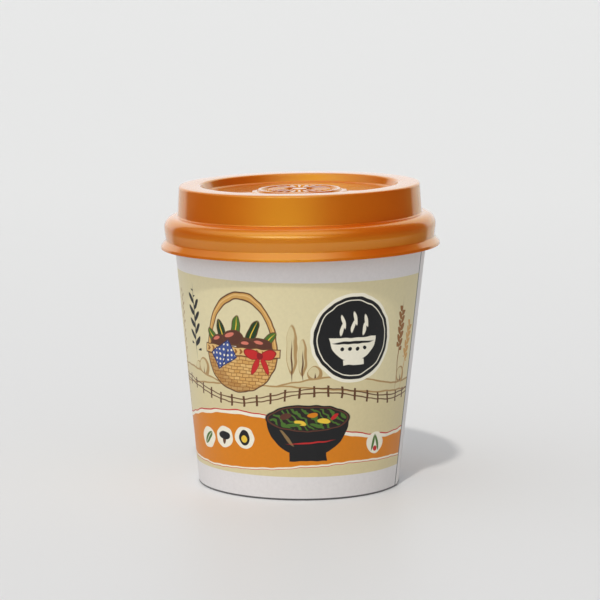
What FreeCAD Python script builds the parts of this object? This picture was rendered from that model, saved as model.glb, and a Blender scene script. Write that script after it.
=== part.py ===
import FreeCAD, Part
import math
import os

# A paper soup cup closed by a thermoformed lid. Millimetres and degrees.
# The origin is the centre of the foot, +Z is up and the printed front looks along -Y.
# The pack is shut, so the cup is solid up to its mouth, and the lid down to it.

# Cup
cup_height = 90.3            # table to the crown of the rolled rim
base_diameter = 68.6         # outside of the foot
rim_diameter = 90.0          # outside of the rolled rim
rim_roll_radius = 1.4        # section radius of the rolled rim
rim_overhang = 1.6           # how far the roll stands out from the wall
foot_recess_depth = 6.5      # paper bottom above the table
foot_ring_thickness = 1.5    # three layers of board, crimped together
foot_edge_round = 0.3
foot_recess_round = 0.5
lap_step = 0.35              # board thickness at the side seam
lap_span_deg = 12.0          # arc over which the top layer rises to the step
seam_angle_deg = 75.0        # from the front towards +X
lap_end_gap = 0.4            # lap's ends to the foot edge and to the roll

# Lid
sheet = 0.45                 # thickness of the formed sheet
lid_tilt_deg = 1.35          # the lid is pressed home at -X only
seat_gap = 0.1               # between the rolled rim and the bead at -X
bead_clearance = 0.7         # radial, bead to rim
neck_clearance = 0.25        # radial, neck to rim
bead_round = 3.7             # outer round of the bead that covers the rim
bead_straight = 1.0          # upright stretch below the bead's centre
bead_fade = 6.0              # round between it and the slope to the neck
neck_drop = 4.3              # bead's centre to the neck
neck_round = 0.6
flange_reach = 1.65          # flange beyond the neck
flange_drop = 1.9            # neck to the lip's top
flange_round = 0.4
lip_height = 0.85
lip_draft = 0.1
collar_height = 10.2         # shoulder to the top of the lid
collar_inset = 4.65          # bead to the collar's foot, radial
collar_draft = 0.6           # collar's foot to its top, radial
crease_round = 0.5
top_edge_round = 0.8
well_margin = 7.3            # width of the flat top round the well
well_depth = 2.9
well_draft = 1.1             # well's edge to its floor, radial
well_edge_round = 0.9
well_floor_round = 0.9
medallion_radius = 16.0      # raised disc in the middle of the well
medallion_height = 0.45
medallion_round = 0.2

# Worked out from the above
base_radius = base_diameter / 2
rim_radius = rim_diameter / 2
rim_crown_radius = rim_radius - rim_roll_radius
rim_roll_z = cup_height - rim_roll_radius
wall_slope = (rim_radius - rim_overhang - base_radius) / rim_roll_z
lid_tilt = math.radians(lid_tilt_deg)


def point(radius, height):
    return FreeCAD.Vector(radius, 0, height)


def wall_radius(height):
    return base_radius + wall_slope * height


def corner_arc(before, corner, after, radius):
    """The arc of that radius that rounds a corner, as its start, middle and end."""
    back = (before - corner).normalize()
    ahead = (after - corner).normalize()
    half_angle = back.getAngle(ahead) / 2
    run = radius / math.tan(half_angle)
    middle = (back + ahead).normalize() * (radius / math.sin(half_angle) - radius)
    return corner + back * run, corner + middle, corner + ahead * run


def rounded_edges(corners):
    """Edges through corners of (radius, height, round), joined by tangent arcs."""
    places = [point(radius, height) for radius, height, _ in corners]
    edges = []
    start = places[0]
    for before, corner, after, (_, _, size) in zip(
        places, places[1:], places[2:], corners[1:]
    ):
        if size > 0:
            arc_start, middle, arc_end = corner_arc(before, corner, after, size)
            edges.append(Part.LineSegment(start, arc_start).toShape())
            edges.append(Part.Arc(arc_start, middle, arc_end).toShape())
            start = arc_end
        else:
            edges.append(Part.LineSegment(start, corner).toShape())
            start = corner
    edges.append(Part.LineSegment(start, places[-1]).toShape())
    return edges


def revolved(edges):
    """The solid that a closed outline beside the Z axis sweeps."""
    face = Part.Face(Part.Wire(edges))
    return face.revolve(FreeCAD.Vector(), FreeCAD.Vector(0, 0, 1), 360)


def inner_corners(corners, thickness):
    """The corners of the same sheet's inner face. Heights run down the outer one."""
    inner = []
    for before, corner, after in zip(corners, corners[1:], corners[2:]):
        path_in = (point(*corner[:2]) - point(*before[:2])).normalize()
        path_out = (point(*after[:2]) - point(*corner[:2])).normalize()
        normal_in = FreeCAD.Vector(path_in.z, 0, -path_in.x)
        normal_out = FreeCAD.Vector(path_out.z, 0, -path_out.x)
        share = thickness / (1 + normal_in.dot(normal_out))
        place = point(*corner[:2]) + (normal_in + normal_out) * share
        turns_outwards = path_in.cross(path_out).y < 0
        size = corner[2] + thickness if turns_outwards else corner[2] - thickness
        inner.append((place.x, place.z, max(size, 0)))
    return inner


def cup_body():
    """Foot ring, tapered wall and rolled rim, closed across the mouth."""
    recess_foot = base_radius - foot_ring_thickness
    recess_top = wall_radius(foot_recess_depth) - foot_ring_thickness
    roll_offset = wall_radius(rim_roll_z) - rim_crown_radius
    wall_top_z = rim_roll_z - math.sqrt(rim_roll_radius**2 - roll_offset**2)
    edges = rounded_edges(
        [
            (0, foot_recess_depth, 0),
            (recess_top, foot_recess_depth, foot_recess_round),
            (recess_foot, 0, foot_edge_round),
            (base_radius, 0, foot_edge_round),
            (wall_radius(wall_top_z), wall_top_z, 0),
        ]
    )
    wall_top = edges[-1].Vertexes[-1].Point
    crown = point(rim_crown_radius, cup_height)
    mouth_centre = point(0, cup_height)
    edges.append(Part.Arc(wall_top, point(rim_radius, rim_roll_z), crown).toShape())
    edges.append(Part.LineSegment(crown, mouth_centre).toShape())
    edges.append(Part.LineSegment(mouth_centre, point(0, foot_recess_depth)).toShape())
    return revolved(edges)


def seam_lap():
    """The sleeve's top layer, which rises to a step at the side seam.

    A cone set off towards the seam stands out by lap_step there and meets the wall
    lap_span_deg before it. It is cut off at the seam's plane and hollowed, so that
    only the wall gets thicker.
    """
    bottom = foot_edge_round + lap_end_gap
    top = cup_height - 2 * rim_roll_radius - lap_end_gap
    middle_radius = wall_radius((bottom + top) / 2)
    offset = (2 * middle_radius * lap_step + lap_step**2) / (
        2 * middle_radius * (1 - math.cos(math.radians(lap_span_deg))) + 2 * lap_step
    )
    cone = Part.makeCone(
        wall_radius(bottom) + lap_step - offset,
        wall_radius(top) + lap_step - offset,
        top - bottom,
        FreeCAD.Vector(offset, 0, bottom),
    )
    inside = Part.makeCone(
        wall_radius(bottom) - foot_ring_thickness / 2,
        wall_radius(top) - foot_ring_thickness / 2,
        top - bottom,
        FreeCAD.Vector(0, 0, bottom),
    )
    reach = rim_diameter
    beyond_seam = Part.makeBox(2 * reach, reach, cup_height, FreeCAD.Vector(-reach, 0, 0))
    lap = cone.cut([inside, beyond_seam])
    lap.rotate(FreeCAD.Vector(), FreeCAD.Vector(0, 0, 1), seam_angle_deg - 90)
    return lap


def lid_body():
    """Well, flat top, collar, bead, neck, flange and lip, tilted on the rim.

    Heights in this outline are above the cup's mouth, before the lid is tilted
    about the centre of its lip.
    """
    bead_radius = rim_radius + bead_clearance + sheet
    neck_radius = rim_radius + neck_clearance + sheet
    bead_centre_radius = bead_radius - bead_round
    roll_to_bead = bead_round - sheet - rim_roll_radius - seat_gap
    roll_offset = rim_crown_radius - bead_centre_radius
    seat_drop = math.sqrt(roll_to_bead**2 - roll_offset**2)
    bead_z = bead_centre_radius * math.sin(lid_tilt) - rim_roll_radius - seat_drop
    shoulder_z = bead_z + bead_round
    collar_radius = bead_radius - collar_inset
    top_radius = collar_radius - collar_draft
    top_z = shoulder_z + collar_height
    well_radius = top_radius - well_margin
    well_z = top_z - well_depth
    neck_z = bead_z - neck_drop
    lip_z = neck_z - flange_drop
    lip_radius = neck_radius + flange_reach
    core_z = -cup_height / 4

    top = [
        (0, well_z + medallion_height, 0),
        (medallion_radius, well_z + medallion_height, medallion_round),
        (medallion_radius + medallion_height, well_z, medallion_round),
        (well_radius - well_draft, well_z, well_floor_round),
        (well_radius, top_z, well_edge_round),
        (top_radius, top_z, top_edge_round),
    ]
    skirt = [
        (collar_radius, shoulder_z, crease_round),
        (bead_radius, shoulder_z, bead_round),
        (bead_radius, bead_z - bead_straight, bead_fade),
        (neck_radius, neck_z, neck_round),
        (lip_radius, lip_z, flange_round),
        (lip_radius + lip_draft, lip_z - lip_height, 0),
    ]
    inside = inner_corners(skirt, sheet)
    lip_inner = (lip_radius + lip_draft - sheet, lip_z - lip_height, 0)
    core_radius = collar_radius - sheet
    core = [
        (core_radius, inside[0][1], 0),
        (core_radius, core_z, 0),
        (0, core_z, 0),
        (0, well_z + medallion_height, 0),
    ]
    lid = revolved(rounded_edges(top + skirt + [lip_inner] + inside[::-1] + core))
    lid.rotate(point(0, lip_z - lip_height), FreeCAD.Vector(0, 1, 0), -lid_tilt_deg)
    lid.translate(FreeCAD.Vector(0, 0, cup_height))
    below_mouth = Part.makeCylinder(rim_crown_radius, cup_height)
    return lid.cut(below_mouth)


def export(name, shape):
    shape.exportStep(os.path.join("parts", name + ".step"))


os.makedirs("parts", exist_ok=True)
export("cup", cup_body().fuse(seam_lap()).removeSplitter())
export("lid", lid_body())
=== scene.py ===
"""Finishes a shut paper cup of instant soup: printed board wall, rolled rim, foot and formed lid.

The CAD frame gives the overall sizes. Lengths in the fields below are millimetres unless they say
otherwise, and angles are degrees. Azimuth 0 is the printed front, which looks along -Y, and the
azimuth grows towards +X. Scales of noise are counts a metre.
"""

import logging
import math
from collections.abc import Callable, Sequence
from dataclasses import dataclass
from enum import Enum
from typing import NamedTuple

import bmesh
import bpy
from mathutils import Matrix, Vector


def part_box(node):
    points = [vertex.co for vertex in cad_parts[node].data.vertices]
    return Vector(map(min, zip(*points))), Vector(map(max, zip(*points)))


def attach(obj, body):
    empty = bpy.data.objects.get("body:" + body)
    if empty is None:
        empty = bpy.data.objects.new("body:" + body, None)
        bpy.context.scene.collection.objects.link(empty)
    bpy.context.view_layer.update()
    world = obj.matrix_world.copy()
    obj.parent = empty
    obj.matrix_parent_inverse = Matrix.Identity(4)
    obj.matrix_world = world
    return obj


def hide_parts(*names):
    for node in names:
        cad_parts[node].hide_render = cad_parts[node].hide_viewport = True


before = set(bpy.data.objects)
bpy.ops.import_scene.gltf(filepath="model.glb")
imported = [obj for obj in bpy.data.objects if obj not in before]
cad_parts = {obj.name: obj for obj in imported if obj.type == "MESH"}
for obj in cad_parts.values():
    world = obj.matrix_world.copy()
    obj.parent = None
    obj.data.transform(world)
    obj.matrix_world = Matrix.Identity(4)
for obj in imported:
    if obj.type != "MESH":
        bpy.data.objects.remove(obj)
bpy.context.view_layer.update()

MM = 0.001
FULL_TURN = 360.0
MERGE_DISTANCE = 1e-6
CREASE_ANGLE = 40.0
BODY = "root"

log = logging.getLogger("soup_cup")

Colour = tuple[float, float, float, float]
Socket = bpy.types.NodeSocket
Setting = float | Socket | tuple[float, ...]


def linear(red: int, green: int, blue: int) -> Colour:
    """Turns a display colour into the linear one that shaders use, by the usual display curve.

    Args:
        red: Display red, 0 to 255.
        green: Display green, 0 to 255.
        blue: Display blue, 0 to 255.

    Returns:
        Linear red, green and blue from 0 to 1, and an alpha of 1.
    """
    shares = [channel / 255 for channel in (red, green, blue)]
    curve = [s / 12.92 if s <= 0.04045 else ((s + 0.055) / 1.055) ** 2.4 for s in shares]
    return (curve[0], curve[1], curve[2], 1.0)


class Ink(Enum):
    """The printed colours of the board."""

    PAPER = (0.75, 0.72, 0.71, 1.0)
    CREAM = (0.735, 0.65, 0.395, 1.0)
    ORANGE = (0.69, 0.215, 0.004, 1.0)
    BLACK = (0.009, 0.009, 0.010, 1.0)
    WHITE = linear(240, 234, 214)
    STRAW = linear(206, 156, 84)
    STRAW_LIGHT = linear(226, 186, 118)
    STRAW_DARK = linear(150, 98, 44)
    SEPIA = linear(98, 62, 38)
    SEPIA_LIGHT = linear(176, 142, 92)
    FIELD = linear(216, 202, 158)
    RED = linear(196, 36, 36)
    RED_DARK = linear(140, 24, 30)
    ROSE = linear(214, 120, 100)
    BLUE = linear(66, 84, 146)
    BLUE_DARK = linear(38, 48, 96)
    GREEN = linear(74, 112, 40)
    GREEN_DARK = linear(34, 62, 30)
    YELLOW = linear(236, 196, 62)
    CAP_BROWN = linear(92, 52, 38)
    SOUP = linear(40, 30, 26)
    # Painted shade, used for the shadow line at the side seam.
    SHADE = linear(92, 90, 88)


# ---------------------------------------------------------------------------
# Modelling
# ---------------------------------------------------------------------------


@dataclass(frozen=True)
class Corner:
    """A corner of an outline that is later spun about the cup's axis.

    Attributes:
        radius: Distance from the axis.
        height: Height above the table.
        rounding: Radius of the arc that rounds the corner, 0 for a sharp one.
        segments: Straight pieces that make up that arc.
    """

    radius: float
    height: float
    rounding: float = 0.0
    segments: int = 5

    def place(self, azimuth: float) -> Vector:
        """Places the corner in a half plane.

        Args:
            azimuth: Azimuth of the half plane.

        Returns:
            The place, in metres.
        """
        turn = math.radians(azimuth)
        spot = (self.radius * math.sin(turn), -self.radius * math.cos(turn), self.height)
        return Vector(spot) * MM


def azimuth_of(place: Vector) -> float:
    """The azimuth of a place, in degrees from 0 to 360."""
    return math.degrees(math.atan2(place.x, -place.y)) % FULL_TURN


def radius_of(place: Vector) -> float:
    """The distance of a place from the axis, in millimetres."""
    return math.hypot(place.x, place.y) / MM


def outwards(place: Vector) -> Vector:
    """The level direction from the axis to a place."""
    return Vector((place.x, place.y, 0)).normalized()


class Bench:
    """One piece on the bench, open in edit mode until it is lifted off.

    Attributes:
        OUTER_SHARE: Share of the widest radius beyond which faces tell inside from outside.
    """

    OUTER_SHARE = 0.85

    def __init__(self, name: str) -> None:
        """Lays down a small plane for the piece and opens it.

        Args:
            name: Name of the piece.
        """
        bpy.ops.object.select_all(action="DESELECT")
        bpy.ops.mesh.primitive_plane_add(size=MM)
        self.piece: bpy.types.Object = bpy.context.object
        self.piece.name = name
        self.piece.data.name = name
        bpy.ops.object.mode_set(mode="EDIT")

    def mesh(self) -> bmesh.types.BMesh:
        """The open mesh, as it stands."""
        return bmesh.from_edit_mesh(self.piece.data)

    def select(self, wanted: Callable[[Vector], bool]) -> None:
        """Selects vertices by their place, and nothing else.

        Args:
            wanted: Says for a place, in metres, whether its vertex is selected.
        """
        bpy.ops.mesh.select_mode(type="VERT")
        bpy.ops.mesh.select_all(action="DESELECT")
        mesh = self.mesh()
        for vertex in mesh.verts:
            vertex.select_set(wanted(vertex.co))
        mesh.select_flush_mode()
        bmesh.update_edit_mesh(self.piece.data)

    def draw(self, corners: Sequence[Corner], azimuth: float) -> None:
        """Draws an outline by extruding one point along it, then rounds its corners.

        Args:
            corners: The outline's corners, in order.
            azimuth: Azimuth of the half plane that it lies in.
        """
        places = [corner.place(azimuth) for corner in corners]
        bpy.ops.mesh.merge(type="CENTER")
        bpy.ops.transform.translate(value=places[0])
        for start, end in zip(places, places[1:]):
            bpy.ops.mesh.extrude_region_move(TRANSFORM_OT_translate={"value": end - start})
        for before, place, after, corner in zip(places, places[1:], places[2:], corners[1:]):
            if corner.rounding > 0:
                self.round_corner(before, place, after, corner)

    def round_corner(
        self, before: Vector, place: Vector, after: Vector, corner: Corner
    ) -> None:
        """Bevels the outline's vertex at a corner into an arc.

        Args:
            before: Place of the corner before it.
            place: Its own place.
            after: Place of the corner after it.
            corner: The corner, which gives the arc's radius and segments.
        """
        self.select(lambda spot: (spot - place).length < MERGE_DISTANCE)
        half_angle = (before - place).angle(after - place) / 2
        bpy.ops.mesh.bevel(
            offset_type="OFFSET",
            offset=corner.rounding * MM / math.tan(half_angle),
            segments=corner.segments,
            affect="VERTICES",
            profile=0.5,
        )

    def spin_round(self, columns: int) -> None:
        """Spins the whole outline once round the axis and closes it.

        Args:
            columns: Number of columns round the axis.
        """
        bpy.ops.mesh.select_all(action="SELECT")
        bpy.ops.mesh.spin(
            steps=columns,
            angle=math.radians(FULL_TURN),
            center=(0, 0, 0),
            axis=(0, 0, 1),
            use_auto_merge=True,
        )

    def spin_on(self, columns: int, degrees: float) -> None:
        """Spins the selected column further round, and keeps the new one selected.

        The operator turns clockwise about its axis, so the axis points down.

        Args:
            columns: Number of columns.
            degrees: The turn.
        """
        bpy.ops.mesh.spin(
            steps=columns, angle=math.radians(degrees), center=(0, 0, 0), axis=(0, 0, -1)
        )

    def move_out(self, distance: float) -> None:
        """Moves the selected column away from the axis.

        Args:
            distance: How far, in millimetres.
        """
        spots = [vertex.co for vertex in self.mesh().verts if vertex.select]
        middle = sum(spots, Vector()) / len(spots)
        bpy.ops.transform.translate(value=outwards(middle) * (distance * MM))

    def close_up(self) -> None:
        """Merges doubles and turns every face outwards."""
        bpy.ops.mesh.select_all(action="SELECT")
        bpy.ops.mesh.remove_doubles(threshold=MERGE_DISTANCE)
        bpy.ops.mesh.normals_make_consistent(inside=False)
        mesh = self.mesh()
        mesh.normal_update()
        widest = max(radius_of(vertex.co) for vertex in mesh.verts)
        lean = 0.0
        for face in mesh.faces:
            middle = face.calc_center_median()
            if radius_of(middle) > self.OUTER_SHARE * widest:
                lean += face.normal.dot(outwards(middle)) * face.calc_area()
        if lean < 0:
            bpy.ops.mesh.flip_normals()

    def lift(self) -> bpy.types.Object:
        """Closes edit mode.

        Returns:
            The piece, alone selected.
        """
        bpy.ops.mesh.select_all(action="DESELECT")
        bpy.ops.object.mode_set(mode="OBJECT")
        return self.piece


def thicken(piece: bpy.types.Object, thickness: float, inner_slot: int = 0) -> None:
    """Gives a surface its wall, inwards from the outer face.

    Args:
        piece: The piece, active and selected.
        thickness: The wall, in millimetres.
        inner_slot: How many material slots further the inner faces and edges go.
    """
    bpy.ops.object.modifier_add(type="SOLIDIFY")
    wall = piece.modifiers[-1]
    wall.thickness = thickness * MM
    wall.offset = -1
    wall.use_even_offset = True
    wall.material_offset = inner_slot
    wall.material_offset_rim = inner_slot
    bpy.ops.object.modifier_apply(modifier=wall.name)


def smooth(piece: bpy.types.Object) -> None:
    """Smooths a piece, with edges sharper than CREASE_ANGLE kept crisp.

    Args:
        piece: The piece.
    """
    bpy.ops.object.select_all(action="DESELECT")
    piece.select_set(True)
    bpy.context.view_layer.objects.active = piece
    bpy.ops.object.shade_smooth_by_angle(angle=math.radians(CREASE_ANGLE))


# ---------------------------------------------------------------------------
# Shading
# ---------------------------------------------------------------------------


class NodeDesk:
    """A node tree with short calls that add a node and link what goes into it.

    Attributes:
        BELOW: Place of the lower colour among a Mix node's inputs.
        ABOVE: Place of the upper colour among them.
        MIXED: Place of the mixed colour among its outputs.
    """

    BELOW, ABOVE, MIXED = 6, 7, 2

    def __init__(self, tree: bpy.types.NodeTree) -> None:
        """Takes a tree and empties it."""
        self.tree = tree
        tree.nodes.clear()

    def feed(self, socket: Socket, value: Setting) -> None:
        """Links a socket to another, or sets its own value.

        Args:
            socket: The socket.
            value: The other socket, or the value.
        """
        if isinstance(value, bpy.types.NodeSocket):
            self.tree.links.new(value, socket)
        else:
            socket.default_value = value

    def add(
        self, kind: str, inputs: dict[str | int, Setting], **settings: str | bool
    ) -> bpy.types.Node:
        """Adds a node.

        Args:
            kind: The node's type name.
            inputs: Value or link for each input, by its name or place.
            settings: The node's own settings.

        Returns:
            The node.
        """
        node = self.tree.nodes.new(kind)
        for name, setting in settings.items():
            setattr(node, name, setting)
        for name, value in inputs.items():
            self.feed(node.inputs[name], value)
        return node

    def math(self, operation: str, *values: Setting, clamp: bool = False) -> Socket:
        """The result of a Math node."""
        inputs = dict(enumerate(values))
        return self.add("ShaderNodeMath", inputs, operation=operation, use_clamp=clamp).outputs[0]

    def vector(self, operation: str, *values: Setting) -> bpy.types.Node:
        """A Vector Math node."""
        return self.add("ShaderNodeVectorMath", dict(enumerate(values)), operation=operation)

    def length(self, place: Socket) -> Socket:
        """The length of a vector."""
        return self.vector("LENGTH", place).outputs["Value"]

    def dot(self, first: Setting, second: Setting) -> Socket:
        """The dot product of two vectors."""
        return self.vector("DOT_PRODUCT", first, second).outputs["Value"]

    def split(self, place: Socket) -> tuple[Socket, ...]:
        """The three coordinates of a place."""
        return tuple(self.add("ShaderNodeSeparateXYZ", {0: place}).outputs)

    def join(self, x: Setting, y: Setting) -> Socket:
        """A flat place from its two coordinates."""
        return self.add("ShaderNodeCombineXYZ", {0: x, 1: y}).outputs[0]

    def here(self) -> Socket:
        """The place on the piece, in metres."""
        return self.add("ShaderNodeTexCoord", {}).outputs["Object"]

    def noise(self, scale: float, detail: float, output: str = "Fac") -> Socket:
        """Noise that runs through the piece."""
        inputs = {"Vector": self.here(), "Scale": scale, "Detail": detail}
        return self.add("ShaderNodeTexNoise", inputs).outputs[output]

    def spread(
        self, value: Socket, low: float, high: float, start: float = 0.0, end: float = 1.0
    ) -> Socket:
        """Maps a value from one range to another, clamped."""
        inputs = {0: value, 1: low, 2: high, 3: start, 4: end}
        return self.add("ShaderNodeMapRange", inputs).outputs[0]

    def between(self, share: Setting, low: Setting, high: Setting) -> Socket:
        """The number that lies that share of the way between two."""
        return self.add("ShaderNodeMix", {"Factor": share, "A": low, "B": high}).outputs[0]

    def mix(
        self, share: Setting, below: Setting, above: Setting, blend: str = "MIX"
    ) -> Socket:
        """The colour that lies between two, or their blend.

        Args:
            share: How much of the upper colour shows, 0 to 1.
            below: Lower colour.
            above: Upper colour.
            blend: Blend type.

        Returns:
            The mixed colour.
        """
        inputs = {"Factor": share, self.BELOW: below, self.ABOVE: above}
        node = self.add("ShaderNodeMix", inputs, data_type="RGBA", blend_type=blend)
        return node.outputs[self.MIXED]

    def bump(
        self, height: Socket, strength: float, depth: float, below: Socket | None = None
    ) -> Socket:
        """Roughens the surface by a height.

        Args:
            height: The height, 0 to 1.
            strength: How strongly it shows, 0 to 1.
            depth: What a height of 1 stands for, in millimetres.
            below: The normal that it is laid on, if not the surface's own.

        Returns:
            The new normal.
        """
        inputs = {"Strength": strength, "Distance": depth * MM, "Height": height}
        if below is not None:
            inputs["Normal"] = below
        return self.add("ShaderNodeBump", inputs).outputs[0]

    def surface(self, inputs: dict[str | int, Setting]) -> None:
        """Ends the tree with a Principled shader that has these inputs."""
        shader = self.add("ShaderNodeBsdfPrincipled", inputs)
        self.add("ShaderNodeOutputMaterial", {"Surface": shader.outputs[0]})


def new_material(name: str) -> tuple[bpy.types.Material, NodeDesk]:
    """Makes an empty material.

    Args:
        name: Its name.

    Returns:
        The material and the desk for its nodes.
    """
    material = bpy.data.materials.new(name)
    material.use_nodes = True
    return material, NodeDesk(material.node_tree)


# ---------------------------------------------------------------------------
# Printing
# ---------------------------------------------------------------------------


class Dab(NamedTuple):
    """An oval of ink, placed from the middle of its motif.

    Attributes:
        ink: The ink.
        x: Its middle, to the right.
        y: Its middle, up.
        wide: Half its width.
        tall: Half its height.
        turn: Its turn, anticlockwise.
        cover: How much it covers what lies below.
    """

    ink: Ink
    x: float
    y: float
    wide: float
    tall: float
    turn: float = 0.0
    cover: float = 1.0


class Canvas:
    """Flat shapes printed over one another, placed in millimetres.

    After each run of prints the place hangs on the colour so far, by a share too small to see.
    The renderer then works through the layers in order, with few of them in hand.

    Attributes:
        EDGE: Width of a shape's soft edge.
        RUN: Prints in a run.
        TRACE: The share by which the place hangs on the colour.
    """

    EDGE = 0.14
    RUN = 8
    TRACE = 1e-7

    def __init__(
        self,
        desk: NodeDesk,
        place: Socket,
        colour: Setting = 0.0,
        base_radius: float = 1.0,
        slope: float = 0.0,
    ) -> None:
        """Starts with a plain ground.

        Args:
            desk: Where the nodes go.
            place: The place on the sheet, in millimetres across and up.
            colour: The ground.
            base_radius: Radius of the wall at its foot.
            slope: How much the wall's radius grows for each millimetre of height.
        """
        self.desk = desk
        self.place = place
        self.colour = colour
        self.base_radius = base_radius
        self.slope = slope
        self.prints = 0

    def settle(self) -> None:
        """Hangs the place on the colour so far."""
        trace = (self.TRACE, self.TRACE, 0.0)
        self.place = self.desk.vector("MULTIPLY_ADD", self.colour, trace, self.place).outputs[0]

    def split(self) -> tuple[Socket, ...]:
        """The place's two coordinates."""
        return self.desk.split(self.place)[:2]

    def swing(self, waves: int, start: float) -> Socket:
        """A wave that comes out even where the panel meets the next one.

        Args:
            waves: Waves from one edge of the panel to the other.
            start: Where the wave starts, in radians.

        Returns:
            The wave, from -1 to 1.
        """
        across, up = self.split()
        radius = self.desk.math("MULTIPLY_ADD", up, self.slope, self.base_radius)
        turn = self.desk.math("DIVIDE", across, radius)
        return self.desk.math("SINE", self.desk.math("MULTIPLY_ADD", turn, 2.0 * waves, start))

    def within(self, reach: Socket, size: float = 1.0) -> Socket:
        """A mask that is 1 where a distance is under 1, as a share of a shape's least size."""
        sharp = size / self.EDGE
        return self.desk.math("MULTIPLY_ADD", reach, -sharp, sharp + 0.5, clamp=True)

    def under(self, distance: Socket, limit: float = 0.0) -> Socket:
        """A mask for a distance in millimetres under a limit."""
        return self.within(self.desk.math("ADD", distance, 1.0 - limit))

    def below(self, height: float) -> Socket:
        """A mask for what lies below a height."""
        return self.under(self.split()[1], height)

    def above(self, height: float) -> Socket:
        """A mask for what lies above a height."""
        return self.under(self.desk.math("MULTIPLY", self.split()[1], -1.0), -height)

    def stripe(self, distance: Socket, half: float, middle: float = 0.0) -> Socket:
        """A mask for a distance close to a middle one.

        Args:
            distance: The distance, in millimetres.
            half: Half the stripe's width.
            middle: The distance at its middle.

        Returns:
            The mask.
        """
        off = self.desk.math("SUBTRACT", distance, middle) if middle else distance
        share = self.desk.math("DIVIDE", self.desk.math("ABSOLUTE", off), half)
        return self.within(share, half)

    def local(self, x: float, y: float, turn: float, wide: float, tall: float) -> Socket:
        """The place as a shape sees it.

        Args:
            x: The shape's middle, across.
            y: The shape's middle, up.
            turn: Its turn.
            wide: Half its width.
            tall: Half its height.

        Returns:
            The place from its middle, in its own directions, as shares of its half sizes.
        """
        inputs = {
            "Vector": self.place,
            "Location": (x, y, 0),
            "Rotation": (0, 0, math.radians(turn)),
            "Scale": (wide, tall, 1),
        }
        return self.desk.add("ShaderNodeMapping", inputs, vector_type="TEXTURE").outputs[0]

    def oval(self, x: float, y: float, wide: float, tall: float, turn: float = 0.0) -> Socket:
        """A mask for an ellipse, by its middle, half sizes and turn."""
        reach = self.desk.length(self.local(x, y, turn, wide, tall))
        return self.within(reach, min(wide, tall))

    def hoop(self, x: float, y: float, wide: float, tall: float, line: float) -> Socket:
        """A mask for an ellipse's outline.

        Args:
            x: Its middle, across.
            y: Its middle, up.
            wide: Half its width.
            tall: Half its height.
            line: Width of the line.

        Returns:
            The mask.
        """
        reach = self.desk.length(self.local(x, y, 0, wide, tall))
        off = self.desk.math("ABSOLUTE", self.desk.math("SUBTRACT", reach, 1.0))
        half = line / 2 / min(wide, tall)
        return self.within(self.desk.math("DIVIDE", off, half), line / 2)

    def box(self, x: float, y: float, wide: float, tall: float, turn: float = 0.0) -> Socket:
        """A mask for a rectangle.

        Args:
            x: Its middle, across.
            y: Its middle, up.
            wide: Half its width.
            tall: Half its height.
            turn: Its turn.

        Returns:
            The mask.
        """
        right, up, _ = self.desk.split(self.local(x, y, turn, wide, tall))
        across = self.within(self.desk.math("ABSOLUTE", right), wide)
        along = self.within(self.desk.math("ABSOLUTE", up), tall)
        return self.both(across, along)

    def both(self, first: Socket, second: Socket) -> Socket:
        """Where two masks hold."""
        return self.desk.math("MULTIPLY", first, second)

    def less(self, mask: Socket, cut: Socket) -> Socket:
        """A mask with another cut out of it."""
        return self.desk.math("SUBTRACT", mask, cut, clamp=True)

    def print(self, mask: Socket, ink: Ink | Socket, cover: float = 1.0) -> None:
        """Prints an ink where a mask holds.

        Args:
            mask: Where it goes.
            ink: The ink, or a colour made by other nodes.
            cover: How much it covers what lies below.
        """
        share = mask if cover == 1.0 else self.desk.math("MULTIPLY", mask, cover)
        above = ink.value if isinstance(ink, Ink) else ink
        self.colour = self.desk.mix(share, self.colour, above)
        self.prints += 1
        if self.prints % self.RUN == 0:
            self.settle()

    def dabs(self, x: float, y: float, *dabs: Dab) -> None:
        """Prints dabs of ink, each over the last.

        Args:
            x: Middle of the motif that they belong to.
            y: Middle of the motif that they belong to.
            dabs: The dabs.
        """
        for dab in dabs:
            mask = self.oval(x + dab.x, y + dab.y, dab.wide, dab.tall, dab.turn)
            self.print(mask, dab.ink, dab.cover)

    def repeated(
        self, x: float, y: float, turn: float, pitch: float, lean: float
    ) -> tuple["Canvas", Socket]:
        """A canvas folded on a stem, so that one shape shows as a row of pairs.

        Args:
            x: Foot of the stem.
            y: Foot of the stem.
            turn: Turn of the stem, 0 for upright.
            pitch: Distance from pair to pair.
            lean: How far the right side is moved up the stem.

        Returns:
            The folded canvas, whose x is the distance from the stem and whose y runs from 0 to
            the pitch, and the height up the stem.
        """
        across, up, _ = self.desk.split(self.local(x, y, turn, 1, 1))
        right = self.desk.math("GREATER_THAN", across, 0.0)
        lifted = self.desk.math("MULTIPLY_ADD", right, lean, up)
        folded = self.desk.math("WRAP", lifted, pitch, 0.0)
        place = self.desk.join(self.desk.math("ABSOLUTE", across), folded)
        return Canvas(self.desk, place), lifted


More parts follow.
